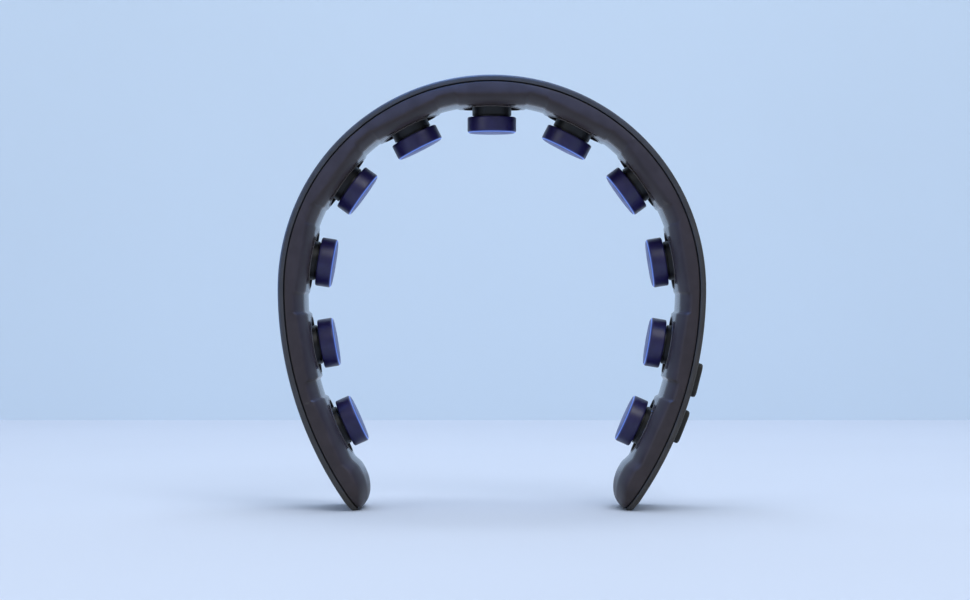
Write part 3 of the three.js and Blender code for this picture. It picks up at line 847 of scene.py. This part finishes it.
stem = {
    "underCap": 1.8,  # from the cap's front to the stem's end
    "pocketDeep": 3.0,  # for the motor
    "pocketRadius": 5.2,
    "web": 0.8,
    "chamberRadius": 5.6,  # for the spring
    "flangeRadius": 8.5,
    "flangeThick": 0.8,
    "flangeUnder": 1.0,  # from the housing's inner floor to the flange's far face
    "groove": 0.45,
}
coilSize = {
    "chassisDepth": 3.9,
    "chassisThick": 0.5,
    "endGap": 0.2,
    "turns": 3.0,
    "wire": 0.4,
    "radius": 4.3,
}


def stemTop(reach):
    return capBack(reach) + head["capHeight"] - stem["underCap"]


def makeStem(name, reach):
    # A flanged tube with a shadow groove under the cap, a spring chamber and a motor pocket.
    low = housing["innerFloor"] - stem["flangeUnder"]
    high = low + stem["flangeThick"]
    back, top = capBack(reach), stemTop(reach)
    web = top - stem["pocketDeep"]
    under = web - stem["web"]
    radius, groove = head["stemRadius"], head["stemRadius"] - stem["groove"]
    flange, chamber, pocket = stem["flangeRadius"], stem["chamberRadius"], stem["pocketRadius"]
    profile = [(chamber, low + 0.1), (chamber + 0.1, low), (flange - 0.1, low), (flange, low + 0.1)]
    profile += [(flange, high - 0.1), (flange - 0.1, high), (radius + 0.05, high), (radius, high + 0.1)]
    profile += [(radius, back - 0.75), (radius - 0.08, back - 0.62), (groove, back - 0.55)]
    profile += [(groove, back - 0.1), (radius - 0.08, back), (radius, back + 0.1)]
    profile += [(radius, top - 0.1), (radius - 0.1, top), (pocket + 0.1, top), (pocket, top - 0.1)]
    profile += [(pocket, web), (0, web), (0, under), (chamber, under)]
    return turnedPiece(name, reach, profile + profile[:1], 80)


def makeSpring(name, reach):
    # A coil of round wire, pointed at both ends: it climbs evenly, and its wire swells with a square root.
    seat = coilSize["chassisDepth"] + coilSize["chassisThick"] + coilSize["endGap"]
    top = stemTop(reach) - stem["pocketDeep"] - stem["web"] - coilSize["endGap"]
    turns, wire, coil = coilSize["turns"], coilSize["wire"], coilSize["radius"]
    share = np.linspace(0, 1, 145)[:, None]
    around = np.linspace(0, 2 * math.pi, 12, endpoint=False)
    thick = wire * np.clip(np.minimum(share, 1 - share) * 140, 0, 1) ** 0.5
    twist = share * turns * 2 * math.pi
    rise = seat + wire + (top - seat - 2 * wire) * share
    radius = coil + thick * np.cos(around)
    shell = Shell()
    depth = rise + thick * np.sin(around)
    shell.grid(stationPoint(reach, radius * np.cos(twist), radius * np.sin(twist), depth), wrap=True)
    return shell.piece(name), seat, top - seat


def fit(piece, body, node, slotName, material):
    piece.data.materials.clear()
    piece.data.materials.append(material)
    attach(piece, body)
    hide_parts(node)


housingShell = makeHousing()
print("housing:", len(housingShell.data.polygons), "faces")
coverShell = makeCover()
print("cover:", len(coverShell.data.polygons), "faces")

socket = {"pastHead": 16.0, "depth": 5.0, "halfLong": 4.65, "halfDeep": 1.75, "squareness": 3.2}


def cutSocketSlot(piece):
    # A slot with rounded ends through the housing's back side, for the charging socket.
    reach = lastHead + socket["pastHead"]
    turn = np.linspace(0, 2 * math.pi, 64, endpoint=False)
    radius = roundedRadius(turn, socket["halfLong"], socket["halfDeep"], socket["squareness"])
    inside, outside = 12, 24  # the cutter's ends, either side of the shell's side
    shell = Shell()
    lines = []
    for across, share in ((inside, 0), (inside, 1), (outside, 1), (outside, 0)):
        r = radius * share
        lines.append(stationPoint(reach, r * np.cos(turn), across, socket["depth"] + r * np.sin(turn)))
    shell.grid(np.stack(lines), wrap=True)
    cutter = shell.piece("slotCutter")
    modifier = piece.modifiers.new("slot", "BOOLEAN")
    modifier.operation, modifier.solver, modifier.object = "DIFFERENCE", "EXACT", cutter
    finished = bpy.data.meshes.new_from_object(piece.evaluated_get(bpy.context.evaluated_depsgraph_get()))
    piece.modifiers.clear()
    piece.data = finished
    bpy.data.objects.remove(cutter)
    finished.set_sharp_from_angle(angle=math.radians(40))


cutSocketSlot(housingShell)
fit(housingShell, "band", "neck_side_housing", "housing", housingPlastic)
fit(coverShell, "band", "outer_cover", "cover", coverPlastic)
fit(makeSeal(), "band", "seam_seal", "seal", sealRubber)
fit(makeKey("powerKey", powerReach), "power_key", "power_key", "key", keyRubber)
fit(makeKey("modeKey", modeReach), "mode_key", "mode_key", "key", keyRubber)
fit(makeLight(), "band", "status_light_pipe", "light", lightClear)

for i, reach in enumerate(headReaches):
    number = f"{i + 1:02d}"
    body = "head_" + number
    fit(makeCap("cap" + number, reach), body, "head_cap_" + number, "cap", capMaterial)
    fit(makeStem("stem" + number, reach), body, "head_stem_" + number, "stem", stemPlastic)
    spring, seat, length = makeSpring("spring" + number, reach)
    fit(spring, "band", "head_spring_" + number, "spring", springSteel)
    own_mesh(spring)
print("heads ready")

innerLooks = {
    "head_motor": motorSteel,
    "spring_steel": springSteel,
    "chassis_screw": motorSteel,
    "power_switch": motorSteel,
    "mode_switch": motorSteel,
    "key_board": boardGreen,
    "main_board": boardGreen,
    "battery_cell": cellFoil,
    "flex_ribbon": ribbonFilm,
    "charging_socket": motorSteel,
}
for name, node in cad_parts.items():
    for start, material in innerLooks.items():
        if name.startswith(start):
            for slot in node.material_slots:
                slot.material = material
print("inner parts finished")

studio = {
    "floor": (0.65, 0.71, 0.84),
    "wall": (0.68, 0.8, 0.94),
    "wallBehind": 0.692,
    "wide": 9.0,
    "distance": 0.95,
    "lens": 93.7,
    "left": 0.00257,
    "eyeHeight": 0.0781,
    "air": (0.83, 0.92, 1.0),
    "airStrength": 0.42,
    "blue": (0.08, 0.3, 1.0),
}


def stagePlane(name, corners, look):
    mesh = bpy.data.meshes.new(name)
    mesh.from_pydata(corners, [], [(0, 1, 2, 3)])
    plane = bpy.data.objects.new(name, mesh)
    bpy.context.scene.collection.objects.link(plane)
    material, tree, shader = newMaterial(name + "Paint", look, 0.8)
    shade = tuple(c * 0.97 for c in look)
    cloud = between(tree, noise(tree, 3, 2), 0.3, 0.7)
    tree.links.new(mixColour(tree, cloud, look, shade), shader.inputs["Base Color"])
    mesh.materials.append(material)


behind, wide = studio["wallBehind"], studio["wide"]
corner = [(wide, behind, 0), (-wide, behind, 0)]  # the line where floor and wall meet
stagePlane("floor", [(-wide, -wide, 0), (wide, -wide, 0)] + corner, studio["floor"])
stagePlane("wall", corner[::-1] + [(wide, behind, wide), (-wide, behind, wide)], studio["wall"])


def softLight(name, place, target, size, power, colour):
    # A square light that faces a target.
    data = bpy.data.lights.new(name, "AREA")
    data.size, data.energy, data.color = size, power, colour
    lamp = bpy.data.objects.new(name, data)
    lamp.location = place
    direction = np.array(target) - np.array(place)
    tilt = math.atan2(math.hypot(direction[0], direction[1]), -direction[2])
    lamp.rotation_euler = (tilt, 0, math.atan2(direction[1], direction[0]) - math.pi / 2)
    bpy.context.scene.collection.objects.link(lamp)
    return lamp


middle = (0, 0, 0.08)
softLight("key", (0.5, -1.1, 1.3), middle, 0.9, 8.5, (0.95, 0.97, 1.0))
softLight("fill", (-1.0, -0.9, 0.5), middle, 0.8, 2.5, (0.92, 0.96, 1.0))
softLight("top", (0.0, 0.2, 1.4), middle, 1.2, 11, (0.93, 0.97, 1.0))

# Two blue lights that reach the band's shells only: along the outer edge, on the left and over the top.
for name, place, size, power, shells in (
    ("blueLeft", (-0.22, -0.05, 0.12), 0.08, 0.3, (coverShell,)),
    ("blueTop", (-0.03, -0.06, 0.3), 0.12, 1.1, (coverShell, housingShell)),
):
    lamp = softLight(name, place, middle, size, power, studio["blue"])
    lamp.light_linking.receiver_collection = bpy.data.collections.new(name + "On")
    for shell in shells:
        lamp.light_linking.receiver_collection.objects.link(shell)

world = bpy.data.worlds.new("studioAir")
bpy.context.scene.world = world
world.use_nodes = True
air = world.node_tree.nodes["Background"]
air.inputs["Color"].default_value = (*studio["air"], 1)
air.inputs["Strength"].default_value = studio["airStrength"]

camera = bpy.data.objects.new("camera", bpy.data.cameras.new("camera"))
camera.data.lens = studio["lens"]
camera.data.sensor_width = 36
camera.location = (-studio["left"], -studio["distance"], studio["eyeHeight"])
camera.rotation_euler = (math.pi / 2, 0, 0)
camera.data.clip_start = 0.05
bpy.context.scene.collection.objects.link(camera)
bpy.context.scene.camera = camera
bpy.context.scene.view_settings.view_transform = "Standard"

bpy.context.view_layer.update()
